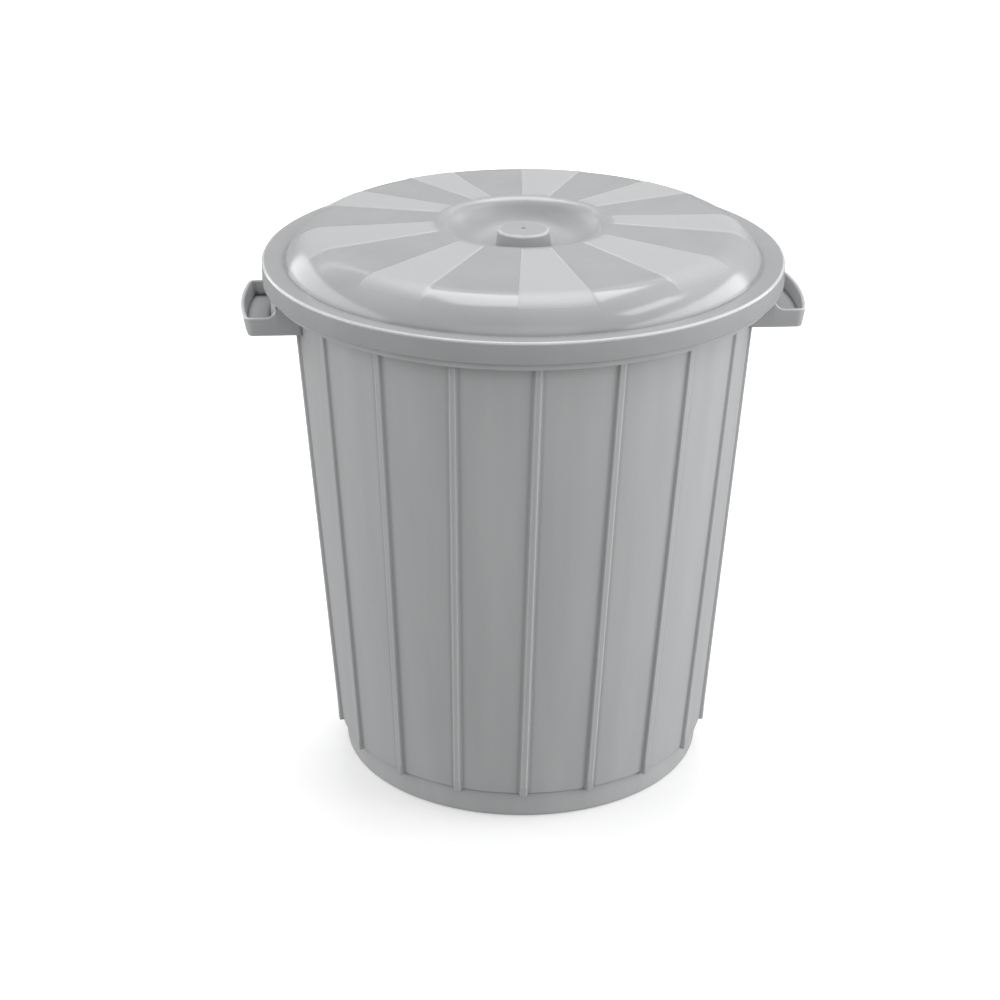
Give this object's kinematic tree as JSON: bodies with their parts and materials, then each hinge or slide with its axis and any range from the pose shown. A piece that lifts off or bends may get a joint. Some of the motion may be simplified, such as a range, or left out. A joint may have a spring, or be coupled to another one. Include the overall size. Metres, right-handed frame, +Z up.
{
  "type": "trash can",
  "caption": "Round tapered trash can of grey moulded plastic with ribbed walls, moulded side grips and a loose domed lid with a knob sunk in a well.",
  "frame": {"origin": "middle of the foot ring, on the floor", "axes": "+Z up along the tub's axis, +X through one grip, -Y the side facing the viewer"},
  "size_m": [0.5, 0.46, 0.5065],
  "materials": {
    "grey_polypropylene": "satin moulded",
    "grey_polypropylene_lid": "satin moulded with polished sectors"
  },
  "bodies": {
    "tub": {"tub": "grey_polypropylene"},
    "lid": {"lid": "grey_polypropylene_lid"}
  },
  "joints": [
    {"name": "lid_lift", "type": "slide", "parent": "tub", "child": "lid", "axis": [0, 0, 1], "range_m": [0, 0.15]}
  ]
}
